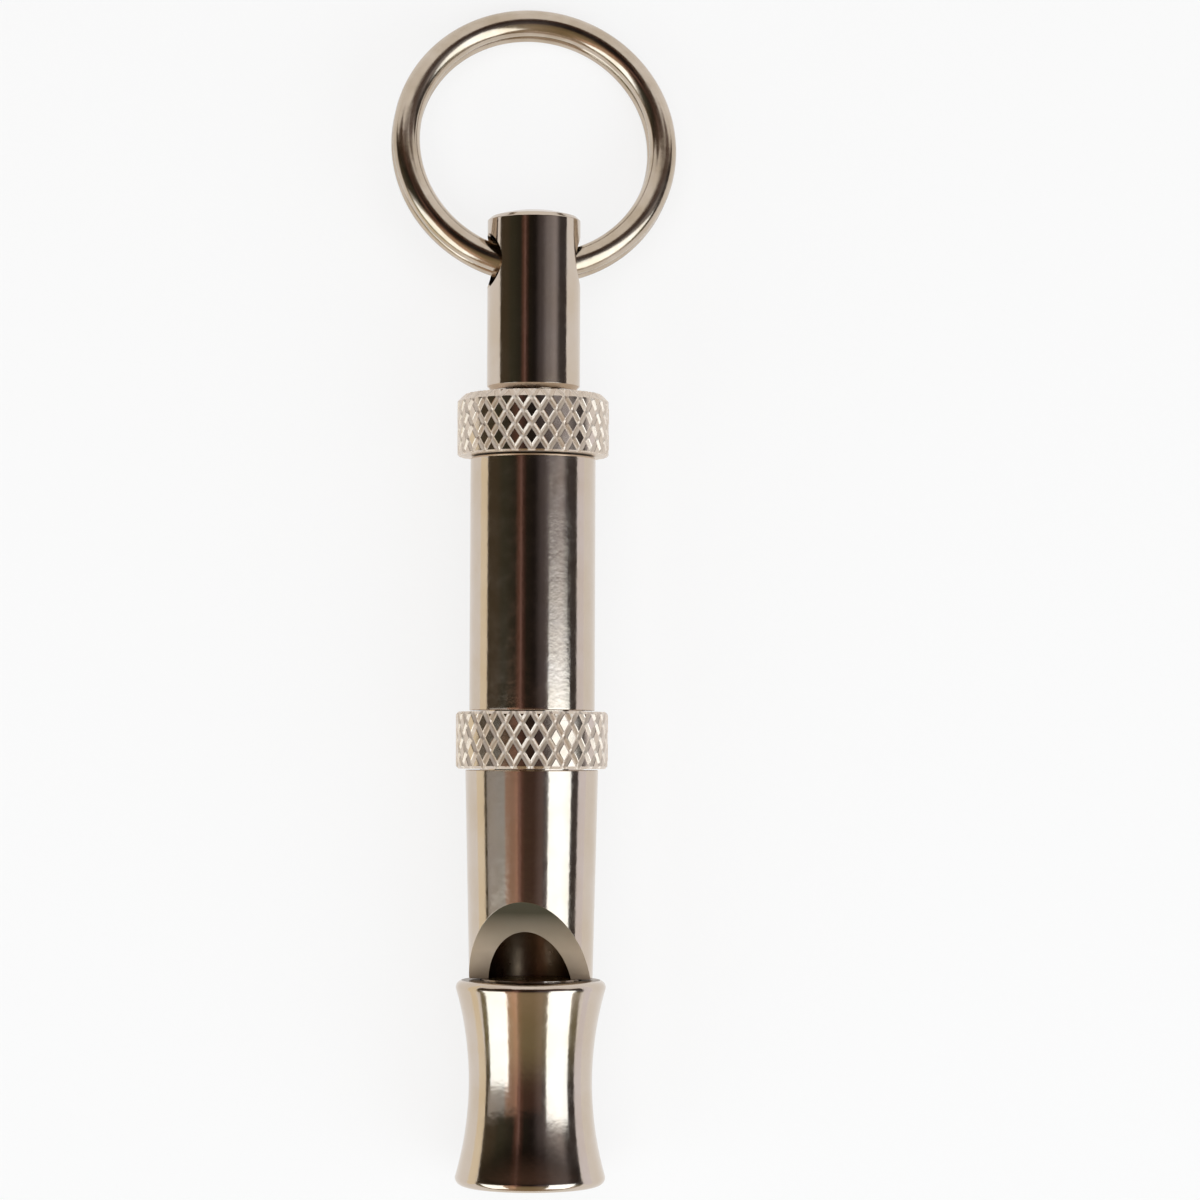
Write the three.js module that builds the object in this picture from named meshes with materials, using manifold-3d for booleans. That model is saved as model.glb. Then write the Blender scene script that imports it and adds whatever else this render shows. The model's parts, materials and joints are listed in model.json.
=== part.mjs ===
// Adjustable-pitch dog whistle: turned brass, nickel plated, on a split key ring.
// Millimetres, +Z up. The whistle lies on its two knurled bands along Y, with the
// mouthpiece towards -Y, the ring towards +Y and the sound window facing up.
// Every piece is drawn on an upright axis first (+Z from the mouthpiece to the ring,
// front towards -Y), and the assembled whistle is then laid down.

import * as THREE from 'three';
import { mergeVertices } from 'three/addons/utils/BufferGeometryUtils.js';
import Module from 'manifold-3d';

// Fits shared by several pieces
const PRESS_GAP = 0.1;           // radial room between a pressed or screwed piece and its seat
const RUNNING_GAP = 0.1;         // radial room round what slides or turns
const FACE_GAP = 0.1;            // room between two faces that meet along the axis
const EDGE_CHAMFER = 0.3;        // broken edge on turned ends

// Resonator barrel
const BORE_DIAMETER = 7.0;       // air column
const BARREL_LENGTH = 17.2;      // from the mouthpiece to the grip collar
const BARREL_WALL = 1.6;         // at the window end
const BARREL_TAPER = 0.4;        // how much the radius grows towards the collar
const SPIGOT_LENGTH = 8.4;       // pressed into the mouthpiece
const SPIGOT_WALL = 0.6;
const NECK_LENGTH = 6.0;         // reach of the neck into the upper sleeve
const NECK_WALL = 0.8;

// Sound window
const WINDOW_LENGTH = 4.0;       // from the mouthpiece's top to the sharp edge, at the bore
const RAMP_ANGLE = 35;           // degrees between the ramp and the axis
const WINDOW_TURN = 7;           // degrees that the window is turned left of straight up

// Mouthpiece
const MOUTHPIECE_LENGTH = 16.8;
const WAIST_WALL = 0.9;          // outside the spigot's seat, at the narrowest place
const FLARE_RISE = 1.1;          // how far both lips stand out from the waist
const LIP_RADIUS = 0.6;          // round of both lips
const BLOW_HOLE_DIAMETER = 6.4;
const BLOW_HOLE_FLARE = 0.6;     // rounded entry of the blow hole

// Windway plug
const PLUG_RECESS = 1.0;         // from the spigot's end to the plug's foot
const WINDWAY_HEIGHT = 0.6;      // slit between the plug's flat and the bore

// Knurled bands
const COLLAR_HEIGHT = 4.7;
const COLLAR_RISE = 0.8;         // above the barrel's thick end
const LOCK_NUT_HEIGHT = 5.1;
const LOCK_NUT_RISE = 1.1;       // above the upper sleeve
const LOCK_NUT_CHAMFER = 0.6;    // at its top, under the stem
const BAND_CHAMFER = 0.2;        // at the bands' other ends
const KNURL_TEETH = 28;          // ridges of each hand round a band
const KNURL_ROW_HEIGHT = 1.15;   // half a diamond, fitted to the band's height
const KNURL_GROOVE = 0.27;       // half the width of a groove, square to it
const KNURL_DEPTH = 0.26;
const KNURL_RIM = 0.1;           // plain margin above and below the diamonds

// Upper sleeve
const SLEEVE_LENGTH = 21.0;
const SLEEVE_WALL = 0.8;
const SLEEVE_THREAD_LENGTH = 8.0; // solid end that carries the internal thread

// Tuning screw, stem and piston
const SCREW_DIAMETER = 5.0;
const SCREW_SEAT_DEPTH = 4.2;    // screw fixed in the stem
const STEM_LENGTH = 14.5;
const STEM_WALL = 1.27;          // round the screw's seat
const STEM_DOME = 0.6;           // rise of the stem's rounded end
const STEM_PLAY = 0.35;          // between the lock nut and the stem, screwed home
const PISTON_LENGTH = 5.0;
const PISTON_STANDOFF = 0.7;     // above the window, screwed home
const PISTON_PIN_DIAMETER = 3.0;
const PISTON_PIN_LENGTH = 2.5;

// Split ring and its eye in the stem
const RING_DIAMETER = 24.0;
const WIRE_WIDTH = 2.3;          // along the ring's radius
const WIRE_THICKNESS = 1.0;      // along the ring's axis
const WIRE_EDGE = 0.1;           // broken edge of the wire's flat side
const COIL_GAP = 0.42;           // between the two turns
const CROSSOVER_ANGLE = 26;      // degrees in which the wire steps from one turn to the other
const RING_START_ANGLE = 262;    // where that step lies, from the right-hand side: in the eye
const EYE_PLAY = 0.36;           // room for the wire in the eye
const EYE_LAND = 1.45;           // metal left between the eye and the stem's end
const EYE_TURN = 12;             // degrees that the eye's left end is turned to the front
const RING_TURN = 8;             // how much of that the ring follows, loose in the eye

// Facets
const ROUND_SEGMENTS = 48;       // round a turned piece
const ARC_POINTS = 2;            // pairs of steps along a rounded edge
const WAIST_POINTS = 8;          // along the mouthpiece's hollow outline
const WIRE_POINTS = 6;           // steps across the wire's round side
const TURN_STEPS = 44;           // along one turn of the split ring

// Radii, from the air column outwards
const boreRadius = BORE_DIAMETER / 2;
const spigotRadius = boreRadius + SPIGOT_WALL;
const spigotSeatRadius = spigotRadius + PRESS_GAP;
const waistRadius = spigotSeatRadius + WAIST_WALL;
const lipRadius = waistRadius + FLARE_RISE;
const barrelRadius = boreRadius + BARREL_WALL;
const barrelTopRadius = barrelRadius + BARREL_TAPER;
const neckRadius = boreRadius + NECK_WALL;
const sleeveBoreRadius = neckRadius + PRESS_GAP;
const sleeveRadius = sleeveBoreRadius + SLEEVE_WALL;
const collarRadius = barrelTopRadius + COLLAR_RISE;
const lockNutRadius = sleeveRadius + LOCK_NUT_RISE;
const screwRadius = SCREW_DIAMETER / 2;
const threadRadius = screwRadius + RUNNING_GAP;
const screwSeatRadius = screwRadius + PRESS_GAP;
const stemRadius = screwSeatRadius + STEM_WALL;

// Heights along the axis, from the mouthpiece's end to the stem's top
const barrelFoot = MOUTHPIECE_LENGTH + FACE_GAP;
const spigotFoot = barrelFoot - SPIGOT_LENGTH;
const windowEdge = barrelFoot + WINDOW_LENGTH;
const barrelShoulder = barrelFoot + BARREL_LENGTH;
const collarFoot = barrelShoulder + FACE_GAP;
const collarTop = collarFoot + COLLAR_HEIGHT;
const sleeveFoot = collarTop + FACE_GAP;
const neckTop = sleeveFoot + NECK_LENGTH;
const sleeveTop = sleeveFoot + SLEEVE_LENGTH;
const lockNutFoot = sleeveTop + FACE_GAP;
const lockNutTop = lockNutFoot + LOCK_NUT_HEIGHT;
const stemFoot = lockNutTop + STEM_PLAY;
const stemTop = stemFoot + STEM_LENGTH;

// Sound window: the ramp meets the bore at windowEdge and the barrel's outside at windowTop
const rampSlope = Math.tan(THREE.MathUtils.degToRad(RAMP_ANGLE));
const windowTurn = THREE.MathUtils.degToRad(WINDOW_TURN);
const windowTop = windowEdge + BARREL_WALL / rampSlope;
const pistonFace = windowTop + PISTON_STANDOFF;
const pistonTop = pistonFace + PISTON_LENGTH;

// Split ring: two turns side by side, hung in the eye so that the curved wire stays
// centred in the straight hole
const wireRadius = (RING_DIAMETER - WIRE_WIDTH) / 2;
const coilPitch = WIRE_THICKNESS + COIL_GAP;
const ringThickness = coilPitch + WIRE_THICKNESS;
const wireSag = wireRadius - Math.sqrt(wireRadius ** 2 - stemRadius ** 2);
const ringOffset = wireRadius - wireSag / 2;
const eyeRadius = Math.hypot(ringThickness, WIRE_WIDTH + wireSag) / 2 + EYE_PLAY;
const eyeHeight = stemTop - EYE_LAND - eyeRadius;

// Lying on its widest band, with the far side of the ring down on the same surface
const axisHeight = Math.max(collarRadius, lockNutRadius, lipRadius);
const eyeTurn = THREE.MathUtils.degToRad(EYE_TURN);
const ringTurn = THREE.MathUtils.degToRad(RING_TURN);
const ringDrop = (tilt) => ringOffset * Math.sin(tilt)
  + (RING_DIAMETER / 2) * Math.hypot(Math.sin(tilt), Math.sin(ringTurn) * Math.cos(tilt))
  + (ringThickness / 2) * Math.cos(ringTurn) * Math.cos(tilt);
const ringTilt = solved(ringDrop, axisHeight, 0, Math.PI / 4);
const ringEnd = eyeHeight + ringOffset * Math.cos(ringTilt)
  + (RING_DIAMETER / 2) * Math.hypot(Math.cos(ringTilt), Math.sin(ringTurn) * Math.sin(ringTilt))
  + (COIL_GAP / 2 + WIRE_EDGE) * Math.cos(ringTurn) * Math.sin(ringTilt);

// Where a rising rule reaches a wanted value, by halving the range
function solved(rule, wanted, from, to) {
  let [low, high] = [from, to];
  for (let round = 0; round < 40; round++) {
    const middle = (low + high) / 2;
    if (rule(middle) < wanted) low = middle;
    else high = middle;
  }
  return low;
}

// Finishes: bright nickel on brass, and a slightly darker nickel on the steel ring
const nickel = new THREE.MeshStandardMaterial({ color: 0xd2c6b8, roughness: 0.16, metalness: 1 });
const knurledNickel = new THREE.MeshStandardMaterial({ color: 0xd6cabc, roughness: 0.26, metalness: 1 });
const ringNickel = new THREE.MeshStandardMaterial({ color: 0xb9a893, roughness: 0.24, metalness: 1 });
const bareBrass = new THREE.MeshStandardMaterial({ color: 0xb89a5c, roughness: 0.35, metalness: 1 });

const wasm = await Module();
wasm.setup();

// A geometry reduced to positions and shared corners, as one closed surface.
function closed(geometry) {
  const bare = geometry.clone();
  bare.deleteAttribute('normal');
  bare.deleteAttribute('uv');
  return mergeVertices(bare, 1e-4);
}

function toSolid(geometry) {
  const surface = closed(geometry);
  return new wasm.Manifold(new wasm.Mesh({
    numProp: 3,
    vertProperties: new Float32Array(surface.attributes.position.array),
    triVerts: new Uint32Array(surface.index.array),
  }));
}

function toGeometry(solid) {
  const { vertProperties, triVerts } = solid.getMesh();
  const geometry = new THREE.BufferGeometry();
  geometry.setAttribute('position', new THREE.BufferAttribute(new Float32Array(vertProperties), 3));
  geometry.setIndex(new THREE.BufferAttribute(new Uint32Array(triVerts), 1));
  geometry.computeVertexNormals();
  return geometry;
}

function cut(geometry, ...tools) {
  return toGeometry(tools.reduce((solid, tool) => solid.subtract(toSolid(tool)), toSolid(geometry)));
}

// A turned piece: outline is a path in (radius, height), drawn with the metal on its left,
// that starts and ends on the axis or closes on itself.
function turned(outline) {
  const points = outline.getPoints(ARC_POINTS);
  return closed(new THREE.LatheGeometry(points, ROUND_SEGMENTS).rotateX(Math.PI / 2));
}

// A band with rolled diamond knurling. Grooves of both hands cross between flat-topped
// diamonds, and a plain rim and a chamfer close the pattern at both ends. Columns count
// half diamonds round the band, and rows count half diamonds up it: a groove crossing lies
// where both are odd or both even, and a diamond's middle everywhere else.
function knurledBand({ bore, radius, foot, height, footChamfer, topChamfer }) {
  const top = foot + height;
  const patternFoot = foot + footChamfer + KNURL_RIM;
  const patternTop = top - topChamfer - KNURL_RIM;
  const rowCount = Math.max(2, Math.round((patternTop - patternFoot) / KNURL_ROW_HEIGHT));
  const rowHeight = (patternTop - patternFoot) / rowCount;
  const columnAngle = Math.PI / KNURL_TEETH;
  const columnWidth = radius * columnAngle;
  const columnCount = 2 * KNURL_TEETH;
  // What a diamond's flat top keeps of the way from its middle to the grooves
  const share = 1 - (KNURL_GROOVE * Math.hypot(columnWidth, rowHeight)) / (columnWidth * rowHeight);

  const corners = [];
  const facet = (...outline) => {
    for (let index = 1; index < outline.length - 1; index++) {
      corners.push(...outline[0], ...outline[index], ...outline[index + 1]);
    }
  };
  const spot = (column, spotRadius, spotHeight) => [
    spotRadius * Math.cos(column * columnAngle), spotRadius * Math.sin(column * columnAngle), spotHeight,
  ];
  const high = (column, row) => spot(column, radius, patternFoot + row * rowHeight);
  const low = (column, row) => spot(column, radius - KNURL_DEPTH, patternFoot + row * rowHeight);

  for (let row = 0; row <= rowCount; row++) {
    for (let column = 0; column < columnCount; column++) {
      if ((row + column) % 2 === 0) continue;
      const left = high(column - share, row);
      const right = high(column + share, row);
      const upper = high(column, row + share);
      const lower = high(column, row - share);
      if (row < rowCount) {
        facet(right, upper, left);
        facet(low(column + 1, row), low(column, row + 1), upper, right);
        facet(low(column, row + 1), low(column - 1, row), left, upper);
      }
      if (row > 0) {
        facet(left, lower, right);
        facet(low(column - 1, row), low(column, row - 1), lower, left);
        facet(low(column, row - 1), low(column + 1, row), right, lower);
      }
    }
  }
  // Where a groove runs into a rim, a small wall ends it
  for (let column = 0; column < columnCount; column += 2) {
    facet(high(column - 1 + share, 0), high(column + 1 - share, 0), low(column, 0));
    const last = column + (rowCount % 2);
    facet(high(last - 1 + share, rowCount), low(last, rowCount), high(last + 1 - share, rowCount));
  }
  // Rims, chamfers, end faces and bore follow the diamonds' corners on the end rows
  const rimColumns = (row) => Array.from({ length: columnCount }, (_, index) => (
    row % 2 === 0
      ? index + (index % 2 === 0 ? 1 - share : share)
      : index + (index % 2 === 0 ? share : 1 - share)
  ));
  const footColumns = rimColumns(0);
  const topColumns = rimColumns(rowCount);
  const loop = (columns, ...place) => columns.map((column) => spot(column, ...place));
  const strip = (from, to) => {
    for (let index = 0; index < columnCount; index++) {
      const next = (index + 1) % columnCount;
      facet(from[index], from[next], to[next], to[index]);
    }
  };
  const loops = [
    loop(topColumns, radius, patternTop), loop(topColumns, radius, top - topChamfer),
    loop(topColumns, radius - topChamfer, top), loop(topColumns, bore, top),
    loop(footColumns, bore, foot), loop(footColumns, radius - footChamfer, foot),
    loop(footColumns, radius, foot + footChamfer), loop(footColumns, radius, patternFoot),
  ];
  for (let index = 1; index < loops.length; index++) strip(loops[index - 1], loops[index]);

  const geometry = new THREE.BufferGeometry();
  geometry.setAttribute('position', new THREE.Float32BufferAttribute(corners, 3));
  const band = mergeVertices(geometry, 1e-4);
  band.computeVertexNormals();
  return band;
}

// Waisted sleeve for the lips: a hollow arc between two rounded lips, a blow hole with a
// rounded entry below and a seat for the barrel's spigot above.
function mouthpieceGeometry() {
  const blowRadius = BLOW_HOLE_DIAMETER / 2;
  const seatFoot = spigotFoot - FACE_GAP;
  const middle = MOUTHPIECE_LENGTH / 2;
  const lipCentre = lipRadius - LIP_RADIUS;
  // The waist is one hollow arc that runs smoothly into the round of each lip
  const inset = LIP_RADIUS - FLARE_RISE;
  const reach = middle - LIP_RADIUS;
  const waistCurve = (inset ** 2 + reach ** 2 - LIP_RADIUS ** 2) / (2 * FLARE_RISE);
  const meeting = Math.atan2(reach, waistCurve + inset);

  const outline = new THREE.Path();
  outline.moveTo(blowRadius + BLOW_HOLE_FLARE, 0);
  outline.lineTo(lipCentre, 0);
  outline.absarc(lipCentre, LIP_RADIUS, LIP_RADIUS, -Math.PI / 2, meeting, false);
  for (let point = 1; point < WAIST_POINTS; point++) {
    const angle = meeting * (1 - (2 * point) / WAIST_POINTS);
    outline.lineTo(waistRadius + waistCurve * (1 - Math.cos(angle)), middle - waistCurve * Math.sin(angle));
  }
  outline.absarc(lipCentre, MOUTHPIECE_LENGTH - LIP_RADIUS, LIP_RADIUS, -meeting, Math.PI / 2, false);
  outline.lineTo(spigotSeatRadius, MOUTHPIECE_LENGTH);
  outline.lineTo(spigotSeatRadius, seatFoot);
  outline.lineTo(blowRadius, seatFoot);
  outline.lineTo(blowRadius, BLOW_HOLE_FLARE);
  outline.absarc(
    blowRadius + BLOW_HOLE_FLARE, BLOW_HOLE_FLARE, BLOW_HOLE_FLARE, Math.PI, 1.5 * Math.PI, false,
  );
  return turned(outline);
}

// Tapered resonator tube. The window is one slanted cut through the front wall, which leaves
// a sharp edge at the bore, facing the breath from the windway below.
function windowBarrelGeometry() {
  const outline = new THREE.Path();
  outline.moveTo(boreRadius, spigotFoot);
  outline.lineTo(spigotRadius - EDGE_CHAMFER, spigotFoot);
  outline.lineTo(spigotRadius, spigotFoot + EDGE_CHAMFER);
  outline.lineTo(spigotRadius, barrelFoot);
  outline.lineTo(barrelRadius, barrelFoot);
  outline.lineTo(barrelTopRadius, barrelShoulder);
  outline.lineTo(neckRadius, barrelShoulder);
  outline.lineTo(neckRadius, neckTop - EDGE_CHAMFER);
  outline.lineTo(neckRadius - EDGE_CHAMFER, neckTop);
  outline.lineTo(boreRadius, neckTop);
  outline.lineTo(boreRadius, spigotFoot);

  const reach = 2 * barrelTopRadius;
  const depthAt = (height) => boreRadius + (height - windowEdge) * rampSlope;
  const heightAt = (depth) => windowEdge + (depth - boreRadius) / rampSlope;
  const side = new THREE.Shape();
  side.moveTo(depthAt(barrelFoot), barrelFoot);
  side.lineTo(reach, barrelFoot);
  side.lineTo(reach, heightAt(reach));
  const cutter = new THREE.ExtrudeGeometry(side, { depth: 2 * reach, bevelEnabled: false });
  // The side view's (depth, height) becomes (-Y, Z), and its thickness runs along X
  const placing = new THREE.Matrix4().makeBasis(
    new THREE.Vector3(0, -1, 0), new THREE.Vector3(0, 0, 1), new THREE.Vector3(-1, 0, 0),
  );
  cutter.applyMatrix4(placing).translate(reach, 0, 0).rotateZ(-windowTurn);
  return cut(turned(outline), cutter);
}

// Block pressed into the spigot, with a flat along its front that leaves the windway.
function windwayPlugGeometry() {
  const radius = boreRadius - PRESS_GAP;
  const top = barrelFoot;
  const foot = spigotFoot + PLUG_RECESS;
  const outline = new THREE.Path();
  outline.moveTo(0, foot);
  outline.lineTo(radius - EDGE_CHAMFER, foot);
  outline.lineTo(radius, foot + EDGE_CHAMFER);
  outline.lineTo(radius, top);
  outline.lineTo(0, top);
  const flat = boreRadius - WINDWAY_HEIGHT;
  const cutter = new THREE.BoxGeometry(BORE_DIAMETER, BORE_DIAMETER, 2 * (top - foot));
  cutter.translate(0, -flat - boreRadius, (foot + top) / 2).rotateZ(-windowTurn);
  return cut(turned(outline), cutter);
}

// Straight tube over the barrel's neck, closed at the top but for the screw's thread.
function upperSleeveGeometry() {
  const ceiling = sleeveTop - SLEEVE_THREAD_LENGTH;
  const outline = new THREE.Path();
  outline.moveTo(sleeveBoreRadius, sleeveFoot);
  outline.lineTo(sleeveRadius, sleeveFoot);
  outline.lineTo(sleeveRadius, sleeveTop - EDGE_CHAMFER);
  outline.lineTo(sleeveRadius - EDGE_CHAMFER, sleeveTop);
  outline.lineTo(threadRadius, sleeveTop);
  outline.lineTo(threadRadius, ceiling);
  outline.lineTo(sleeveBoreRadius, ceiling);
  outline.lineTo(sleeveBoreRadius, sleeveFoot);
  return turned(outline);
}

// Plain round stem with a domed end that turns the screw, drilled across for the ring.
function tuningStemGeometry() {
  const seatTop = stemFoot + SCREW_SEAT_DEPTH;
  const domeFoot = stemRadius - EDGE_CHAMFER;
  const domeCurve = (domeFoot ** 2 + STEM_DOME ** 2) / (2 * STEM_DOME);
  const outline = new THREE.Path();
  outline.moveTo(screwSeatRadius, stemFoot);
  outline.lineTo(stemRadius - EDGE_CHAMFER, stemFoot);
  outline.lineTo(stemRadius, stemFoot + EDGE_CHAMFER);
  outline.lineTo(stemRadius, stemTop - EDGE_CHAMFER);
  outline.absarc(
    0, stemTop + STEM_DOME - domeCurve, domeCurve, Math.acos(domeFoot / domeCurve), Math.PI / 2, false,
  );
  outline.lineTo(0, seatTop);
  outline.lineTo(screwSeatRadius, seatTop);
  outline.lineTo(screwSeatRadius, stemFoot);
  const eye = new THREE.CylinderGeometry(eyeRadius, eyeRadius, 4 * stemRadius, ROUND_SEGMENTS / 2);
  eye.rotateZ(Math.PI / 2 + eyeTurn).translate(0, 0, eyeHeight);
  return cut(turned(outline), eye);
}

// Threaded rod, with a plain pin at its foot that carries the piston.
function tuningScrewGeometry() {
  const top = stemFoot + SCREW_SEAT_DEPTH - FACE_GAP;
  const foot = pistonTop + FACE_GAP;
  const pinFoot = pistonTop - PISTON_PIN_LENGTH;
  const pinRadius = PISTON_PIN_DIAMETER / 2;
  const outline = new THREE.Path();
  outline.moveTo(0, pinFoot);
  outline.lineTo(pinRadius, pinFoot);
  outline.lineTo(pinRadius, foot);
  outline.lineTo(screwRadius - EDGE_CHAMFER, foot);
  outline.lineTo(screwRadius, foot + EDGE_CHAMFER);
  outline.lineTo(screwRadius, top - EDGE_CHAMFER);
  outline.lineTo(screwRadius - EDGE_CHAMFER, top);
  outline.lineTo(0, top);
  return turned(outline);
}

// Plunger that closes the air column, with a socket for the screw's pin.
function pistonGeometry() {
  const radius = boreRadius - RUNNING_GAP;
  const socketRadius = PISTON_PIN_DIAMETER / 2 + RUNNING_GAP;
  const socketFoot = pistonTop - PISTON_PIN_LENGTH - FACE_GAP;
  const outline = new THREE.Path();
  outline.moveTo(0, pistonFace);
  outline.lineTo(radius - EDGE_CHAMFER, pistonFace);
  outline.lineTo(radius, pistonFace + EDGE_CHAMFER);
  outline.lineTo(radius, pistonTop);
  outline.lineTo(socketRadius, pistonTop);
  outline.lineTo(socketRadius, socketFoot);
  outline.lineTo(0, socketFoot);
  return turned(outline);
}

// Centre line of the ring's wire: one turn, a short step across, then the other turn.
// Share runs from 0 to 1 along the wire; the ring lies in XZ about its own centre.
function wirePoint(share) {
  const crossover = THREE.MathUtils.degToRad(CROSSOVER_ANGLE);
  const run = crossover / 2 + share * (4 * Math.PI - crossover);
  const step = THREE.MathUtils.smoothstep(run, 2 * Math.PI - crossover / 2, 2 * Math.PI + crossover / 2);
  const angle = run + THREE.MathUtils.degToRad(RING_START_ANGLE);
  return new THREE.Vector3(
    wireRadius * Math.cos(angle), coilPitch * (step - 0.5), wireRadius * Math.sin(angle),
  );
}

// Half-round wire, round to the front and flat behind with broken edges, wound two turns;
// its free ends stop short of the step.
function splitRingGeometry() {
  const halfWidth = WIRE_WIDTH / 2;
  const halfThickness = WIRE_THICKNESS / 2;
  const crown = WIRE_THICKNESS - WIRE_EDGE;
  const crownCurve = (halfWidth ** 2 + crown ** 2) / (2 * crown);
  const crownAngle = Math.atan2(halfWidth, crownCurve - crown);
  const section = [[halfWidth - WIRE_EDGE, halfThickness], [WIRE_EDGE - halfWidth, halfThickness]];
  for (let point = 0; point <= WIRE_POINTS; point++) {
    const angle = crownAngle * ((2 * point) / WIRE_POINTS - 1);
    section.push([crownCurve * Math.sin(angle), crownCurve * (1 - Math.cos(angle)) - halfThickness]);
  }
  const steps = 2 * TURN_STEPS;
  const sides = section.length;
  const positions = [];
  for (let step = 0; step <= steps; step++) {
    const centre = wirePoint(step / steps);
    const outward = new THREE.Vector3(centre.x, 0, centre.z).normalize();
    for (const [across, along] of section) {
      positions.push(centre.x + outward.x * across, centre.y + along, centre.z + outward.z * across);
    }
  }
  const triangles = [];
  for (let side = 1; side < sides - 1; side++) {
    const last = steps * sides;
    triangles.push(0, side + 1, side, last, last + side, last + side + 1);
  }
  for (let step = 0; step < steps; step++) {
    for (let side = 0; side < sides; side++) {
      const here = step * sides + side;
      const next = step * sides + ((side + 1) % sides);
      triangles.push(here, next, next + sides, here, next + sides, here + sides);
    }
  }
  const geometry = new THREE.BufferGeometry();
  geometry.setAttribute('position', new THREE.Float32BufferAttribute(positions, 3));
  geometry.setIndex(triangles);
  geometry.computeVertexNormals();
  return geometry;
}

// Least room between the ring's two turns, measured between points of the centre line that
// lie at least half a turn apart along the wire.
function leastCoilGap() {
  const samples = 8 * TURN_STEPS;
  const points = Array.from({ length: samples + 1 }, (_, index) => wirePoint(index / samples));
  let least = Infinity;
  for (let first = 0; first <= samples; first++) {
    for (let second = first + samples / 4; second <= samples; second++) {
      least = Math.min(least, points[first].distanceTo(points[second]));
    }
  }
  return least - WIRE_THICKNESS;
}
console.log(`least gap between the ring's turns: ${leastCoilGap().toFixed(3)} mm`);

function piece(name, geometry, material) {
  const mesh = new THREE.Mesh(geometry, material);
  mesh.name = name;
  return mesh;
}

const whistle = new THREE.Group();
whistle.add(
  piece('mouthpiece', mouthpieceGeometry(), nickel),
  piece('windway_plug', windwayPlugGeometry(), bareBrass),
  piece('window_barrel', windowBarrelGeometry(), nickel),
  piece('grip_collar', knurledBand({
    bore: neckRadius + PRESS_GAP, radius: collarRadius, foot: collarFoot, height: COLLAR_HEIGHT,
    footChamfer: BAND_CHAMFER, topChamfer: BAND_CHAMFER,
  }), knurledNickel),
  piece('upper_sleeve', upperSleeveGeometry(), nickel),
  piece('lock_nut', knurledBand({
    bore: threadRadius, radius: lockNutRadius, foot: lockNutFoot, height: LOCK_NUT_HEIGHT,
    footChamfer: BAND_CHAMFER, topChamfer: LOCK_NUT_CHAMFER,
  }), knurledNickel),
  piece('tuning_stem', tuningStemGeometry(), nickel),
  piece('tuning_screw', tuningScrewGeometry(), nickel),
  piece('piston', pistonGeometry(), bareBrass),
);

// The ring hangs in the eye, turned part of the way with it, and leans until its far side is down
const eye = new THREE.Group();
eye.position.z = eyeHeight;
eye.rotation.set(-ringTilt, 0, ringTurn);
const splitRing = piece('split_ring', splitRingGeometry(), ringNickel);
splitRing.position.z = ringOffset;
eye.add(splitRing);
whistle.add(eye);

// Laid down along Y, centred on its whole length
whistle.rotation.x = -Math.PI / 2;
whistle.position.set(0, -ringEnd / 2, axisHeight);

const part = new THREE.Group();
part.add(whistle);

export default part;
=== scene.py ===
import json
import math

import bmesh
import bpy
from mathutils import Euler, Matrix, Vector


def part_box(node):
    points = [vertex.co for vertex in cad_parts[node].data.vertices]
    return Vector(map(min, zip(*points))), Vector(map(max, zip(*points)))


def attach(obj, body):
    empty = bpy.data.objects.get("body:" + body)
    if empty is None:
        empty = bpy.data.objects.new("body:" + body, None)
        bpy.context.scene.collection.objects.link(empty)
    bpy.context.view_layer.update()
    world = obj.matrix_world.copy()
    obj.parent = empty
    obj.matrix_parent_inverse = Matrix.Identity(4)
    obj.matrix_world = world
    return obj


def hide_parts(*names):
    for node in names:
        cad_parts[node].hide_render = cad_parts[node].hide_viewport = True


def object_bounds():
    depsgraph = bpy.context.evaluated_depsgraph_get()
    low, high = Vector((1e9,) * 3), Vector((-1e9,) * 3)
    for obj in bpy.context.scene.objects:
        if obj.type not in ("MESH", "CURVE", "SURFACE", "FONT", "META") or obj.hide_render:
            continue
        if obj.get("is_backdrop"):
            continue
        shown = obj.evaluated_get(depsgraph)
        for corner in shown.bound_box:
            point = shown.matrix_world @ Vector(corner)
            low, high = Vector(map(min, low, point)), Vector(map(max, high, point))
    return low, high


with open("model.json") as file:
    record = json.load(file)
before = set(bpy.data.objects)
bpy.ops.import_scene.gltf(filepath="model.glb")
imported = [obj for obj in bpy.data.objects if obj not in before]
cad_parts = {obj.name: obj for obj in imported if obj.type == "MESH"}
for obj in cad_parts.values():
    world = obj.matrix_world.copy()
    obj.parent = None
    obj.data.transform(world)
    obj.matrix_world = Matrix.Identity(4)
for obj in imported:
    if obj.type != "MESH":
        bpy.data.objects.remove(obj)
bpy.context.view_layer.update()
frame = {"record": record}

# Window barrel. The real piece is a brass tube turned to a slight taper and nickel plated, with
# one slanted cut milled through its upper side as the sound window. A spigot below goes into
# the mouthpiece, and a neck above goes into the upper sleeve.
blow_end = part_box("mouthpiece")[0].y
axis_height = (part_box("mouthpiece")[0].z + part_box("mouthpiece")[1].z) / 2
window_turn = math.radians(7)
window_out = Vector((-math.sin(window_turn), 0, math.cos(window_turn)))
window_across = Vector((math.cos(window_turn), 0, math.sin(window_turn)))
corner_angle = math.radians(35)


def along(station):
    """Height along the axis in metres, from millimetres above the blow end."""
    return blow_end + station / 1000


def reach_of(node):
    """Foot, top and radius of a round CAD piece, in millimetres from the blow end."""
    low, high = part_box(node)
    return (low.y - blow_end) * 1000, (high.y - blow_end) * 1000, (high.x - low.x) * 500


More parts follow.
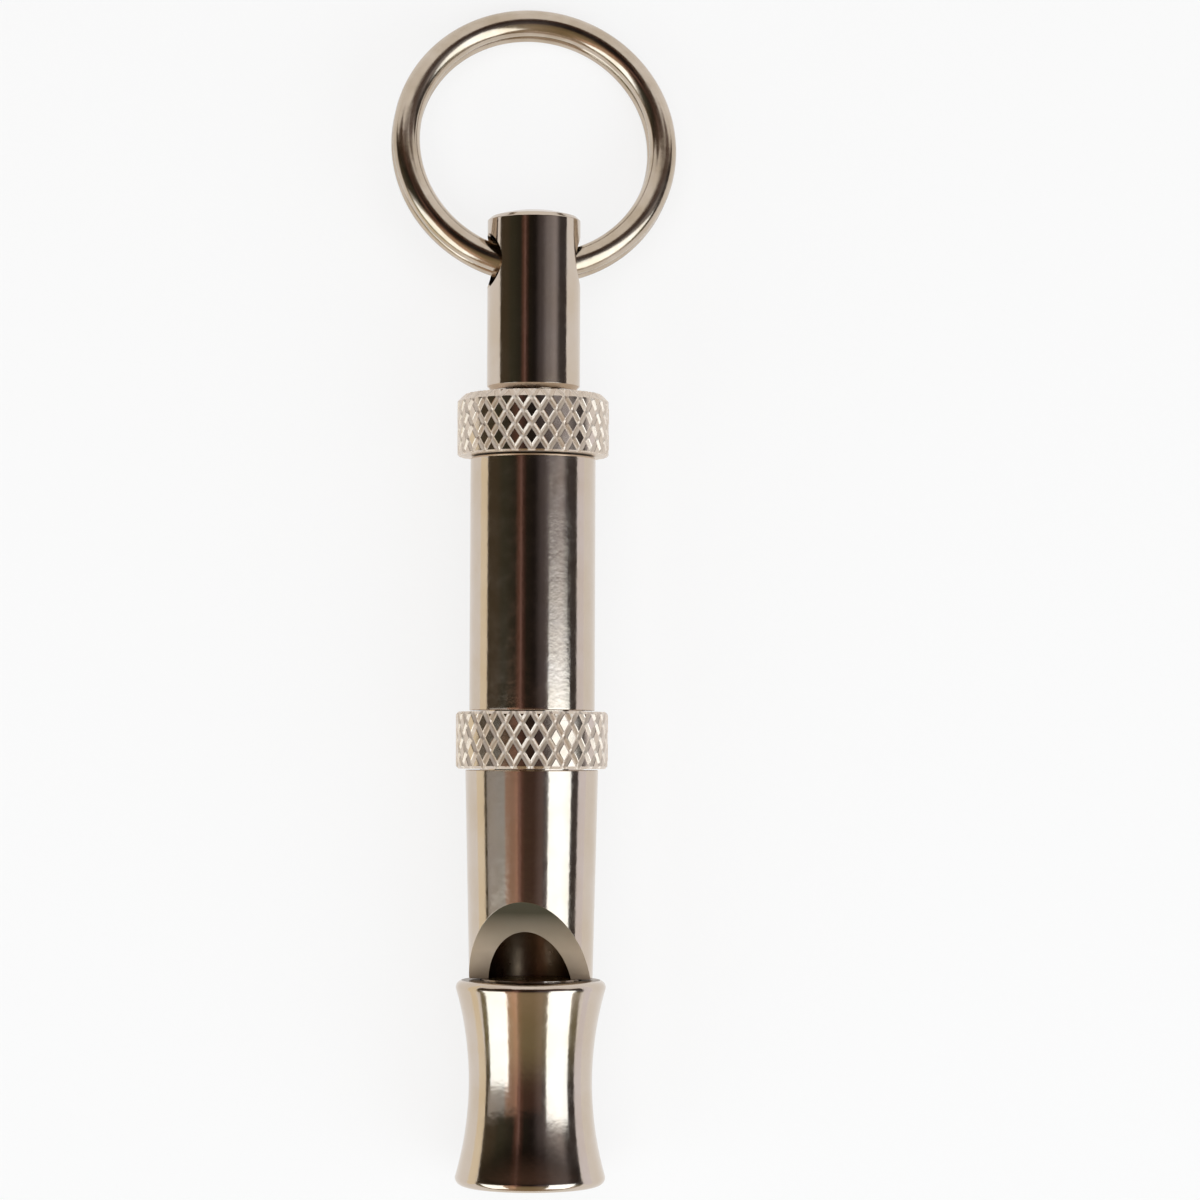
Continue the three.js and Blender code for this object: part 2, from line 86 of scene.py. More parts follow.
def eased(corners, steps=5, lead=0.15):
    """Round the corners (radius, station, fillet) of a closed outline. A short lead beside each
    round keeps the shading of the long faces straight."""
    points = []
    for index, (radius, station, fillet) in enumerate(corners):
        here = Vector((radius, station))
        if not fillet:
            points.append(here)
            continue
        back = (Vector(corners[index - 1][:2]) - here).normalized()
        on = (Vector(corners[(index + 1) % len(corners)][:2]) - here).normalized()
        half = back.angle(on) / 2
        start = here + back * fillet / math.tan(half)
        end = here + on * fillet / math.tan(half)
        centre = here + (back + on).normalized() * fillet / math.sin(half)
        sweep = (start - centre).angle_signed(end - centre)
        points.append(start + back * lead)
        for step in range(steps + 1):
            points.append(centre + Matrix.Rotation(-sweep * step / steps, 2) @ (start - centre))
        points.append(end + on * lead)
    return [(point[0], point[1]) for point in points]


def shown(name, bm):
    """Make a finished mesh an object of the scene, smooth but for its sharp corners."""
    mesh = bpy.data.meshes.new(name)
    bm.to_mesh(mesh)
    bm.free()
    mesh.shade_smooth()
    mesh.set_sharp_from_angle(angle=corner_angle)
    piece = bpy.data.objects.new(name, mesh)
    bpy.context.scene.collection.objects.link(piece)
    return piece


def circle_of(bm, radius, station, sides):
    """New vertices evenly round the whistle's axis."""
    angles = [2 * math.pi * side / sides for side in range(sides)]
    return [bm.verts.new((
        radius / 1000 * math.sin(angle), along(station),
        axis_height + radius / 1000 * math.cos(angle),
    )) for angle in angles]


def turned(name, outline, sides=160):
    """Revolve an outline of (radius, station) about the whistle's axis."""
    bm = bmesh.new()
    rings = []
    for radius, station in outline:
        if radius < 1e-6:
            rings.append([bm.verts.new((0, along(station), axis_height))])
        else:
            rings.append(circle_of(bm, radius, station, sides))
    for lower, upper in zip(rings, rings[1:] + rings[:1]):
        for side in range(sides):
            quad = [lower[side % len(lower)], lower[(side + 1) % len(lower)],
                    upper[(side + 1) % len(upper)], upper[side % len(upper)]]
            corners = list(dict.fromkeys(quad))
            if len(corners) > 2:
                bm.faces.new(corners)
    bmesh.ops.recalc_face_normals(bm, faces=bm.faces[:])
    return shown(name, bm)


def cut_away(piece, tool):
    """Subtract a tool from a piece and remove the tool."""
    modifier = piece.modifiers.new("cut", 'BOOLEAN')
    modifier.operation = 'DIFFERENCE'
    modifier.solver = 'EXACT'
    modifier.object = tool
    depsgraph = bpy.context.evaluated_depsgraph_get()
    result = bpy.data.meshes.new_from_object(piece.evaluated_get(depsgraph))
    piece.modifiers.clear()
    piece.data = result
    bpy.data.objects.remove(tool)


def break_edges(piece, in_cut, width):
    """Round the edges between the faces of a cut and the rest, as a buffing wheel leaves them.
    The low sharp angle keeps the shading of the faces beside them true."""
    bm = bmesh.new()
    bm.from_mesh(piece.data)
    rim = [edge for edge in bm.edges if len(edge.link_faces) == 2
           and in_cut(edge.link_faces[0]) != in_cut(edge.link_faces[1])]
    bmesh.ops.bevel(
        bm, geom=rim, offset=width / 1000, segments=2, profile=0.5, affect='EDGES',
        clamp_overlap=True,
    )
    bm.to_mesh(piece.data)
    bm.free()
    piece.data.shade_smooth()
    piece.data.set_sharp_from_angle(angle=math.radians(5))


def add_node(tree, kind, sockets=None, **settings):
    """Put a node in a tree with its settings, and set or link its inputs by name or number."""
    node = tree.nodes.new(kind)
    for key, value in settings.items():
        setattr(node, key, value)
    for key, value in (sockets or {}).items():
        if isinstance(value, bpy.types.NodeSocket):
            tree.links.new(value, node.inputs[key])
        else:
            node.inputs[key].default_value = value
    return node


def worked(tree, operation, *values):
    """The result of a Math node."""
    sockets = dict(enumerate(values))
    return add_node(tree, 'ShaderNodeMath', sockets, operation=operation).outputs[0]


def ranged(tree, value, low, high, to_low, to_high, **settings):
    """A value carried from one range to another, held at the ends."""
    return add_node(tree, 'ShaderNodeMapRange', {
        "Value": value, "From Min": low, "From Max": high, "To Min": to_low, "To Max": to_high,
    }, **settings).outputs[0]


def apart(tree, vector):
    """The three parts of a vector."""
    return add_node(tree, 'ShaderNodeSeparateXYZ', {"Vector": vector}).outputs


def mixed(tree, share, first, second, **settings):
    """One colour blended into another by a share."""
    return add_node(tree, 'ShaderNodeMix', {
        0: share, 6: first, 7: second,
    }, data_type='RGBA', **settings).outputs[2]


def speckled(tree, place, scale, detail, roughness):
    """A noise pattern at a place."""
    return add_node(tree, 'ShaderNodeTexNoise', {
        "Vector": place, "Scale": scale, "Detail": detail, "Roughness": roughness,
    }).outputs["Fac"]


def plated(name, tone, tarnish, polish, haze, grain, turning=0.0, metallic=1.0):
    """Nickel plate over turned brass. Tone drifts to tarnish in soft patches, roughness runs
    from polish to haze, grain is the plating's fine pebble and turning the tool's rings."""
    material = bpy.data.materials.new(name)
    material.use_nodes = True
    tree = material.node_tree
    shader = tree.nodes["Principled BSDF"]
    shader.inputs["Metallic"].default_value = metallic
    place = add_node(tree, 'ShaderNodeTexCoord').outputs["Object"]
    patches = ranged(tree, speckled(tree, place, 260.0, 3.0, 0.55), 0.35, 0.68, 0.0, 1.0)
    tree.links.new(mixed(tree, patches, tone, tarnish), shader.inputs["Base Color"])
    smears = ranged(tree, speckled(tree, place, 900.0, 4.0, 0.6), 0.3, 0.72, polish, haze)
    tree.links.new(smears, shader.inputs["Roughness"])

    relief = worked(tree, 'MULTIPLY', speckled(tree, place, 2400.0, 2.0, 0.5), grain)
    if turning:
        drawn_out = add_node(tree, 'ShaderNodeMapping', {
            "Vector": place, "Scale": (0.03, 1.0, 0.03),
        }).outputs[0]
        rings = speckled(tree, drawn_out, 5200.0, 2.0, 0.5)
        relief = worked(tree, 'ADD', relief, worked(tree, 'MULTIPLY', rings, turning))
    bump = add_node(tree, 'ShaderNodeBump', {
        "Strength": 1.0, "Distance": 0.001, "Height": relief,
    })
    tree.links.new(bump.outputs["Normal"], shader.inputs["Normal"])
    return material


nickel = plated(
    "nickel_plate", tone=(0.61, 0.52, 0.44, 1), tarnish=(0.58, 0.48, 0.38, 1),
    polish=0.08, haze=0.16, grain=0.0045,
)
spigot_foot, neck_top, shoulder_radius = reach_of("window_barrel")
mouthpiece_top = reach_of("mouthpiece")[1]
collar_foot = reach_of("grip_collar")[0]
# All in millimetres; fit is the room between pieces that go together
fit = 0.1
bore = 3.5
spigot_radius = 4.1
neck_radius = 4.3
foot_radius = 5.1
end_chamfer = 0.3
barrel_foot = mouthpiece_top + fit
barrel_shoulder = collar_foot - fit
barrel = turned("plated_barrel", eased([
    (bore, spigot_foot, 0), (spigot_radius - end_chamfer, spigot_foot, 0),
    (spigot_radius, spigot_foot + end_chamfer, 0), (spigot_radius, barrel_foot, 0),
    (foot_radius, barrel_foot, 0.16), (shoulder_radius, barrel_shoulder, 0.08),
    (neck_radius, barrel_shoulder, 0), (neck_radius, neck_top - end_chamfer, 0),
    (neck_radius - end_chamfer, neck_top, 0), (bore, neck_top, 0),
]))
# The window's cutter is a wedge that reaches clear of the barrel
window_edge = barrel_foot + 4.0
ramp_slope = math.tan(math.radians(35))
ramp_normal = (window_out - Vector((0, ramp_slope, 0))).normalized()
clear = 11.0
window_side = [
    (bore + (barrel_foot - window_edge) * ramp_slope, barrel_foot), (clear, barrel_foot),
    (clear, window_edge + (clear - bore) / ramp_slope),
]
bm = bmesh.new()
ends = [[bm.verts.new(
    Vector((0, along(station), axis_height)) + (window_out * depth + window_across * across) / 1000
) for depth, station in window_side] for across in (-clear, clear)]
bm.faces.new(ends[0])
bm.faces.new(ends[1])
for corner in range(3):
    follow = (corner + 1) % 3
    bm.faces.new((ends[0][corner], ends[0][follow], ends[1][follow], ends[1][corner]))
bmesh.ops.recalc_face_normals(bm, faces=bm.faces[:])
cut_away(barrel, shown("window_cutter", bm))


def on_ramp(face):
    """Whether a face belongs to the milled ramp."""
    return face.normal.dot(ramp_normal) > 0.9999


break_edges(barrel, on_ramp, 0.10)
milled = plated(
    "milled_ramp", tone=(0.70, 0.58, 0.45, 1), tarnish=(0.60, 0.485, 0.36, 1),
    polish=0.34, haze=0.50, grain=0.006, metallic=0.5,
)
# The ramp's colour is painted darker towards the top of its arch: painted shade for the dark
# reflection there
arch_shade_reach = 1.6
tree = milled.node_tree
base = tree.nodes["Principled BSDF"].inputs["Base Color"]
height = apart(tree, add_node(tree, 'ShaderNodeTexCoord').outputs["Object"])["Y"]
arch_painted_shade = ranged(
    tree, height, along(window_edge - arch_shade_reach), along(window_edge + arch_shade_reach), 0.0, 1.0,
)
tree.links.new(mixed(tree, arch_painted_shade, base.links[0].from_socket, (0.085, 0.078, 0.052, 1)), base)
# A dark brass for the bore and for the face at the joint: its darkness is painted shade inside the
# bore and a painted shadow at the joint
painted_shade_brass = plated(
    "bore_brass", tone=(0.30, 0.22, 0.15, 1), tarnish=(0.18, 0.13, 0.085, 1),
    polish=0.26, haze=0.42, grain=0.004, turning=0.004,
)
barrel.data.materials.clear()
for finish in (nickel, milled, painted_shade_brass):
    barrel.data.materials.append(finish)
# The faces inside the bore get the dark brass, painted shade inside the tube
bore_skin = 0.03
for face in barrel.data.polygons:
    if on_ramp(face):
        face.material_index = 1
        face.use_smooth = False
    elif math.hypot(face.center.x, face.center.z - axis_height) < (bore + bore_skin) / 1000:
        face.material_index = 2
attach(barrel, "barrel")
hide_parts("window_barrel")

# Windway plug. The real piece is a short brass block pressed into the spigot. The flat along
# its upper side leaves the slit that aims the breath at the window's sharp edge.
brass = plated(
    "bare_brass", tone=(0.72, 0.56, 0.30, 1), tarnish=(0.55, 0.40, 0.20, 1),
    polish=0.22, haze=0.40, grain=0.004, turning=0.003,
)
windway_height = 0.6
plug_foot, plug_top, plug_radius = reach_of("windway_plug")
plug = turned("brass_plug", eased([
    (0, plug_foot, 0), (plug_radius, plug_foot, 0.3), (plug_radius, plug_top, 0.05),
    (0, plug_top, 0),
]))
bm = bmesh.new()
bm.from_mesh(plug.data)
flat = Vector((0, 0, axis_height)) + window_out * (bore - windway_height) / 1000
bmesh.ops.bisect_plane(
    bm, geom=bm.verts[:] + bm.edges[:] + bm.faces[:], plane_co=flat, plane_no=window_out,
    clear_outer=True,
)
bmesh.ops.contextual_create(bm, geom=[edge for edge in bm.edges if edge.is_boundary])
bm.to_mesh(plug.data)
bm.free()
plug.data.set_sharp_from_angle(angle=corner_angle)
plug.data.materials.append(brass)
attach(plug, "barrel")
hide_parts("windway_plug")

# Mouthpiece. The real piece is a waisted sleeve turned from brass and nickel plated, pressed
# over the barrel's spigot. One hollow curve runs into a round lip at each end, and the face
# against the barrel is given the dark brass as a painted shadow at the joint.


def arc(radius, station, size, start, sweep, steps):
    """Points of (radius, station) along an arc of a given size about a centre."""
    angles = [start + sweep * step / steps for step in range(steps + 1)]
    return [(radius + size * math.cos(angle), station + size * math.sin(angle))
            for angle in angles]


lip_radius = reach_of("mouthpiece")[2]
lip_round = 0.6
flare_rise = 1.1
blow_hole = 3.2
hole_round = 0.6
lead = 0.15
quarter = math.pi / 2
waist_radius = lip_radius - flare_rise
lip_reach = mouthpiece_top / 2 - lip_round
waist_curve = ((lip_round - flare_rise) ** 2 + lip_reach ** 2 - lip_round ** 2) / (2 * flare_rise)
meeting = math.atan2(lip_reach, waist_curve + lip_round - flare_rise)
lip_centre = lip_radius - lip_round
waist_centre = waist_radius + waist_curve
mouthpiece = turned("plated_mouthpiece", [
    (lip_centre - lead, 0.0),
    *arc(lip_centre, lip_round, lip_round, -quarter, meeting + quarter, 16),
    *arc(waist_centre, mouthpiece_top / 2, -waist_curve, meeting, -2 * meeting, 48)[1:-1],
    *arc(lip_centre, mouthpiece_top - lip_round, lip_round, -meeting, meeting + quarter, 16),
    (spigot_radius + fit, mouthpiece_top), (spigot_radius + fit, spigot_foot - fit),
    (blow_hole, spigot_foot - fit), (blow_hole, hole_round + lead),
    *arc(blow_hole + hole_round, hole_round, hole_round, math.pi, quarter, 8),
], sides=192)
for finish in (nickel, painted_shade_brass):
    mouthpiece.data.materials.append(finish)
# The face against the barrel gets the dark brass: a painted shadow where the two pieces meet
for face in mouthpiece.data.polygons:
    if face.normal.y > 0.97:
        face.material_index = 1
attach(mouthpiece, "barrel")
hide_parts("mouthpiece")

# Piston. The real piece is a brass plunger that slides in the barrel's bore, with two oil
# grooves round it and a socket for the screw's pin.
piston_foot, piston_top, piston_radius = reach_of("piston")
pin_radius = 1.5
socket_depth = 2.6
groove_floor = piston_radius - 0.3
oil_grooves = []
for groove_foot in (piston_foot + 1.2, piston_foot + 2.8):
    oil_grooves += [
        (piston_radius, groove_foot, 0.03), (groove_floor, groove_foot + 0.1, 0),
        (groove_floor, groove_foot + 0.5, 0), (piston_radius, groove_foot + 0.6, 0.03),
    ]
piston = turned("brass_piston", eased([
    (0, piston_foot, 0), (piston_radius, piston_foot, 0.25), *oil_grooves,
    (piston_radius, piston_top, 0.1), (pin_radius + fit, piston_top, 0),
    (pin_radius + fit, piston_top - socket_depth, 0), (0, piston_top - socket_depth, 0),
], lead=0.04), sides=96)
piston.data.materials.append(brass)
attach(piston, "piston")
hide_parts("piston")

# Grip collar. The real piece is a brass band with a diamond knurl rolled into it, nickel plated,
# held between the barrel's shoulder and the upper sleeve. Grooves of both hands leave
# flat-topped diamonds, and a chamfer is turned on both edges after the rolling.


def rule_tree(name, **kinds):
    """An empty Geometry Nodes tree with named inputs of some kinds and a material, its input
    node and its output node."""
    tree = bpy.data.node_groups.new(name, 'GeometryNodeTree')
    for kind, labels in {**kinds, "Material": ["Plate"]}.items():
        for label in labels:
            tree.interface.new_socket(label, in_out='INPUT', socket_type='NodeSocket' + kind)
    tree.interface.new_socket("Geometry", in_out='OUTPUT', socket_type='NodeSocketGeometry')
    return tree, tree.nodes.new('NodeGroupInput').outputs, tree.nodes.new('NodeGroupOutput').inputs


def grown(name, tree, sizes):
    """Run a tree with its sizes and keep what it makes as a plain mesh."""
    piece = bpy.data.objects.new(name, bpy.data.meshes.new(name))
    bpy.context.scene.collection.objects.link(piece)
    modifier = piece.modifiers.new("rule", 'NODES')
    modifier.node_group = tree
    for socket in tree.interface.items_tree:
        if socket.in_out == 'INPUT':
            modifier[socket.identifier] = sizes[socket.name]
    depsgraph = bpy.context.evaluated_depsgraph_get()
    made = bpy.data.meshes.new_from_object(piece.evaluated_get(depsgraph))
    piece.modifiers.clear()
    made.materials.clear()
    made.materials.append(sizes["Plate"])
    for face in made.polygons:
        face.material_index = 0
    piece.data = made
    return piece


def joined(tree, x, y, z):
    """A vector of three parts."""
    return add_node(tree, 'ShaderNodeCombineXYZ', {"X": x, "Y": y, "Z": z}).outputs[0]


def moved(tree, geometry, x, y, z):
    """Geometry with each point put at a worked-out place."""
    return add_node(tree, 'GeometryNodeSetPosition', {
        "Geometry": geometry, "Position": joined(tree, x, y, z),
    }).outputs[0]


def merged(tree, geometry):
    """Geometry with the points that meet made one."""
    return add_node(tree, 'GeometryNodeMergeByDistance', {
        "Geometry": geometry, "Distance": 2e-6,
    }).outputs[0]


def finished(tree, geometry, plate, result):
    """End a tree: instances made real, the material set and the result handed out."""
    real = add_node(tree, 'GeometryNodeRealizeInstances', {"Geometry": geometry}).outputs[0]
    dressed = add_node(tree, 'GeometryNodeSetMaterial', {"Geometry": real, "Material": plate})
    tree.links.new(dressed.outputs[0], result["Geometry"])


knurl, given, result = rule_tree(
    "diamond_knurl", Float=["Radius", "Foot", "Axis Height", "Row Height", "Land", "Depth"],
    Int=["Teeth", "Rows"],
)
column_width = worked(
    knurl, 'DIVIDE', worked(knurl, 'MULTIPLY', given["Radius"], math.pi), given["Teeth"])
# One diamond: a 7 by 7 grid along both grooves, flat on top, with a soft shoulder to each flank.
# Each third of a half is carried to its own stretch: the land, the shoulder and the flank.
tile = add_node(knurl, 'GeometryNodeMeshGrid', {
    "Size X": 2.0, "Size Y": 2.0, "Vertices X": 7, "Vertices Y": 7,
}).outputs["Mesh"]
across = apart(knurl, add_node(knurl, 'GeometryNodeInputPosition').outputs[0])
soft_shoulder = 0.06
shoulder_in = worked(knurl, 'SUBTRACT', given["Land"], soft_shoulder)
shoulder_out = worked(knurl, 'ADD', given["Land"], soft_shoulder)
shoulder_width = worked(knurl, 'SUBTRACT', shoulder_out, shoulder_in)
flank_width = worked(knurl, 'SUBTRACT', 1.0, shoulder_out)
flank = worked(knurl, 'DIVIDE', flank_width, worked(knurl, 'SUBTRACT', 1.0, given["Land"]))
places = []
heights = []
for hand in ("X", "Y"):
    size = worked(knurl, 'ABSOLUTE', across[hand])
    place = worked(knurl, 'ADD', ranged(knurl, size, 0.0, 1 / 3, 0.0, shoulder_in), worked(
        knurl, 'ADD', ranged(knurl, size, 1 / 3, 2 / 3, 0.0, shoulder_width),
        ranged(knurl, size, 2 / 3, 1.0, 0.0, flank_width),
    ))
    places.append(worked(knurl, 'MULTIPLY', worked(knurl, 'SIGN', across[hand]), place))
    heights.append(worked(
        knurl, 'MINIMUM', ranged(knurl, size, 1 / 3, 2 / 3, 1.0, flank),
        ranged(knurl, size, 2 / 3, 1.0, 1.0, 0.0),
    ))
height = worked(knurl, 'MINIMUM', *heights)
rolled_down = ranged(knurl, height, 1.0, flank, 0.0, 1.0)
tile = add_node(knurl, 'GeometryNodeStoreNamedAttribute', {
    "Geometry": tile, "Name": "groove", "Value": rolled_down,
}, data_type='FLOAT', domain='POINT').outputs[0]
half_sum = worked(knurl, 'MULTIPLY', worked(knurl, 'ADD', *places), 0.5)
half_difference = worked(knurl, 'MULTIPLY', worked(knurl, 'SUBTRACT', *places), 0.5)
tile = moved(
    knurl, tile, worked(knurl, 'MULTIPLY', column_width, half_sum),
    worked(knurl, 'MULTIPLY', given["Row Height"], half_difference),
    worked(knurl, 'MULTIPLY', given["Depth"], height),
)
# Every other row is shifted by half a diamond, and each diamond is rolled a little unevenly
index = add_node(knurl, 'GeometryNodeInputIndex').outputs[0]
row = worked(knurl, 'FLOOR', worked(knurl, 'DIVIDE', index, given["Teeth"]))
column = worked(
    knurl, 'ADD', worked(knurl, 'MULTIPLY', worked(knurl, 'MODULO', index, given["Teeth"]), 2.0),
    worked(knurl, 'MODULO', row, 2.0),
)
lattice = add_node(knurl, 'GeometryNodePoints', {
    "Count": worked(knurl, 'MULTIPLY', given["Teeth"], given["Rows"]),
    "Position": joined(knurl, worked(knurl, 'MULTIPLY', column, column_width),
                       worked(knurl, 'MULTIPLY', row, given["Row Height"]), 0.0),
}).outputs[0]
laid = add_node(knurl, 'GeometryNodeInstanceOnPoints', {
    "Points": lattice, "Instance": tile,
}).outputs[0]
uneven = add_node(knurl, 'FunctionNodeRandomValue', {
    2: 0.9, 3: 1.0, "Seed": 7,
}, data_type='FLOAT').outputs[1]
laid = add_node(knurl, 'GeometryNodeScaleInstances', {
    "Instances": laid, "Scale": joined(knurl, 1.0, 1.0, uneven),
}).outputs[0]
flat_band = add_node(knurl, 'GeometryNodeRealizeInstances', {"Geometry": laid}).outputs[0]
# The flat pattern is wrapped round the band
spread = apart(knurl, add_node(knurl, 'GeometryNodeInputPosition').outputs[0])
turn = worked(knurl, 'DIVIDE', spread["X"], given["Radius"])
groove_radius = worked(knurl, 'SUBTRACT', given["Radius"], given["Depth"])
out = worked(knurl, 'ADD', groove_radius, spread["Z"])
band = moved(
    knurl, flat_band, worked(knurl, 'MULTIPLY', out, worked(knurl, 'SINE', turn)),
    worked(knurl, 'ADD', given["Foot"], spread["Y"]),
    worked(knurl, 'ADD', given["Axis Height"],
           worked(knurl, 'MULTIPLY', out, worked(knurl, 'COSINE', turn))),
)
finished(knurl, merged(knurl, band), given["Plate"], result)


def faced(piece, foot, top, radius, foot_chamfer, top_chamfer, hole, rolled=False, sides=96):
    """Part a grown band off at both ends, give it chamfers that are turned after the rolling or
    before it, and close it down to its hole."""
    bm = bmesh.new()
    bm.from_mesh(piece.data)

    def sliced(station, side):
        bmesh.ops.bisect_plane(
            bm, geom=bm.verts[:] + bm.edges[:] + bm.faces[:], dist=1e-7,
            plane_co=(0, along(station), 0), plane_no=(0, side or 1, 0), clear_outer=bool(side),
        )

    sliced(foot, -1)
    sliced(top, 1)
    sliced(foot + foot_chamfer, 0)
    sliced(top - top_chamfer, 0)
    for vertex in bm.verts:
        station = (vertex.co.y - blow_end) * 1000
        taken = max(0, foot_chamfer - station + foot, top_chamfer - top + station)
        out = math.hypot(vertex.co.x, vertex.co.z - axis_height) * 1000
        left = (out - taken if rolled else min(out, radius - taken)) / out
        vertex.co.x *= left
        vertex.co.z = axis_height + (vertex.co.z - axis_height) * left
    circles = []
    for station in (foot, top):
        rim = [edge for edge in bm.edges if edge.is_boundary
               and all(abs(vertex.co.y - along(station)) < 1e-6 for vertex in edge.verts)]
        if hole:
            circle = circle_of(bm, hole, station, sides)
            rim += [bm.edges.new((circle[side - 1], circle[side])) for side in range(sides)]
            circles.append(circle)
        bmesh.ops.triangle_fill(bm, edges=rim, use_beauty=True, use_dissolve=False)
    if hole:
        lower, upper = circles
        for side in range(sides):
            bm.faces.new((lower[side - 1], lower[side], upper[side], upper[side - 1]))
    bmesh.ops.recalc_face_normals(bm, faces=bm.faces[:])
    bm.to_mesh(piece.data)
    bm.free()
    piece.data.shade_smooth()
    piece.data.set_sharp_from_angle(angle=math.radians(12))


knurled = plated(
    "knurled_nickel", tone=(0.66, 0.565, 0.48, 1), tarnish=(0.62, 0.515, 0.41, 1),
    polish=0.10, haze=0.20, grain=0.003,
)
# The grooves are left duller than the lands, and their colour is painted paler: a painted highlight
# for the light the grooves catch
tree = knurled.node_tree
base = tree.nodes["Principled BSDF"].inputs["Base Color"]
roughness = tree.nodes["Principled BSDF"].inputs["Roughness"]
groove = add_node(tree, 'ShaderNodeAttribute', attribute_name="groove").outputs["Fac"]
dull = add_node(tree, 'ShaderNodeMix', {0: groove, 2: roughness.links[0].from_socket, 3: 0.5})
tree.links.new(dull.outputs[0], roughness)
# Painted highlight: the grooves' colour is blended towards a pale tone
tree.links.new(mixed(tree, groove, base.links[0].from_socket, (0.84, 0.74, 0.64, 1)), base)
# Both bands are rolled longer than they end up, from a spare length below the foot
knurl_sizes = {
    "Axis Height": axis_height, "Teeth": 28, "Rows": 8, "Land": 0.62, "Depth": 0.0002,
    "Plate": knurled,
}
spare_foot = 1.0
collar_foot, collar_top, collar_radius = reach_of("grip_collar")
collar = grown("knurled_collar", knurl, {
    **knurl_sizes, "Radius": collar_radius / 1000, "Foot": along(collar_foot - spare_foot),
    "Row Height": 0.00118,
})
faced(
    collar, collar_foot, collar_top, collar_radius, foot_chamfer=0.22, top_chamfer=0.22,
    hole=neck_radius + fit,
)
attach(collar, "barrel")
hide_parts("grip_collar")

# Upper sleeve. The real piece is a straight brass tube, nickel plated, screwed over the barrel's
# neck. Its upper end is solid but for the thread that carries the tuning screw.
sleeve_foot, sleeve_top, sleeve_radius = reach_of("upper_sleeve")
thread_hole = 2.6
thread_end = sleeve_top - 8.0
sleeve = turned("plated_sleeve", eased([
    (neck_radius + fit, sleeve_foot, 0), (sleeve_radius, sleeve_foot, 0.06),
    (sleeve_radius, sleeve_top, 0.2), (thread_hole, sleeve_top, 0.05),
    (thread_hole, thread_end, 0), (neck_radius + fit, thread_end, 0),
]))
sleeve.data.materials.append(nickel)
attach(sleeve, "barrel")
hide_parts("upper_sleeve")

# Lock nut. The real piece is a second knurled brass band, nickel plated, threaded on the tuning
# screw. Turned down on the sleeve it holds the pitch, and its upper edge has a wide chamfer.
nut_foot, nut_top, nut_radius = reach_of("lock_nut")
lock_nut = grown("knurled_lock_nut", knurl, {
    **knurl_sizes, "Radius": nut_radius / 1000, "Foot": along(nut_foot - spare_foot),
    "Row Height": 0.00108,
})
faced(
    lock_nut, nut_foot, nut_top, nut_radius, foot_chamfer=0.12, top_chamfer=0.6,
    hole=thread_hole, rolled=True,
)
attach(lock_nut, "lock_nut")
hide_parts("lock_nut")

# Tuning screw. The real piece is a brass rod with a 5 mm thread of 0.8 mm pitch, nickel plated,
# fixed in the stem above and carrying the piston on a plain pin below.
thread, given, result = rule_tree(
    "screw_thread", Float=["Radius", "Pitch", "Foot", "Axis Height"], Int=["Turns", "Sides"],
)
# Four rows a turn: both edges of the crest and both edges of the root, in shares of the pitch
crest_width = 0.125
flank_rise = 0.3125
root_width = 0.25
thread_depth = 0.6
steps_up = worked(thread, 'MULTIPLY', given["Turns"], 4.0)
sheet = add_node(thread, 'GeometryNodeMeshGrid', {
    "Size X": 1.0, "Size Y": steps_up, "Vertices X": worked(thread, 'ADD', given["Sides"], 1.0),
    "Vertices Y": worked(thread, 'ADD', steps_up, 1.0),
}).outputs["Mesh"]
spot = apart(thread, add_node(thread, 'GeometryNodeInputPosition').outputs[0])
share = worked(thread, 'ADD', spot["X"], 0.5)
row = worked(thread, 'ROUND', worked(
    thread, 'ADD', spot["Y"], worked(thread, 'MULTIPLY', steps_up, 0.5)))
kind = worked(thread, 'MODULO', row, 4.0)
within = worked(thread, 'ADD', ranged(thread, kind, 0.0, 1.0, 0.0, crest_width), worked(
    thread, 'ADD', ranged(thread, kind, 1.0, 2.0, 0.0, flank_rise),
    ranged(thread, kind, 2.0, 3.0, 0.0, root_width),
))
climb = worked(thread, 'ADD', share, worked(
    thread, 'ADD', within, worked(thread, 'FLOOR', worked(thread, 'DIVIDE', row, 4.0))))
sunk = worked(thread, 'MULTIPLY', given["Pitch"], ranged(thread, kind, 1.0, 2.0, 0.0, thread_depth))
out = worked(thread, 'SUBTRACT', given["Radius"], sunk)
turn = worked(thread, 'MULTIPLY', share, 2 * math.pi)
rod = moved(
    thread, sheet, worked(thread, 'MULTIPLY', out, worked(thread, 'SINE', turn)),
    worked(thread, 'ADD', given["Foot"], worked(thread, 'MULTIPLY', climb, given["Pitch"])),
    worked(thread, 'ADD', given["Axis Height"],
           worked(thread, 'MULTIPLY', out, worked(thread, 'COSINE', turn))),
)
finished(thread, merged(thread, rod), given["Plate"], result)
pin_foot, screw_top, screw_radius = reach_of("tuning_screw")
thread_foot = piston_top + fit
pitch = 0.8
screw = grown("threaded_screw", thread, {
    "Radius": screw_radius / 1000, "Pitch": pitch / 1000, "Sides": 48,
    "Turns": math.ceil((screw_top - thread_foot) / pitch) + 2,
    "Foot": along(thread_foot - 1.5 * pitch), "Axis Height": axis_height, "Plate": nickel,
})
faced(
    screw, thread_foot, screw_top, screw_radius, foot_chamfer=0.4, top_chamfer=0.4, hole=None,
)
pin_top = thread_foot + 0.2
pin = turned("screw_pin", eased([
    (0, pin_foot, 0), (pin_radius, pin_foot, 0.2), (pin_radius, pin_top, 0), (0, pin_top, 0),
]), sides=64)
bm = bmesh.new()
bm.from_mesh(screw.data)
bm.from_mesh(pin.data)
bm.to_mesh(screw.data)
bm.free()
screw.data.set_sharp_from_angle(angle=corner_angle)
bpy.data.objects.remove(pin)
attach(screw, "adjuster")
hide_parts("tuning_screw")

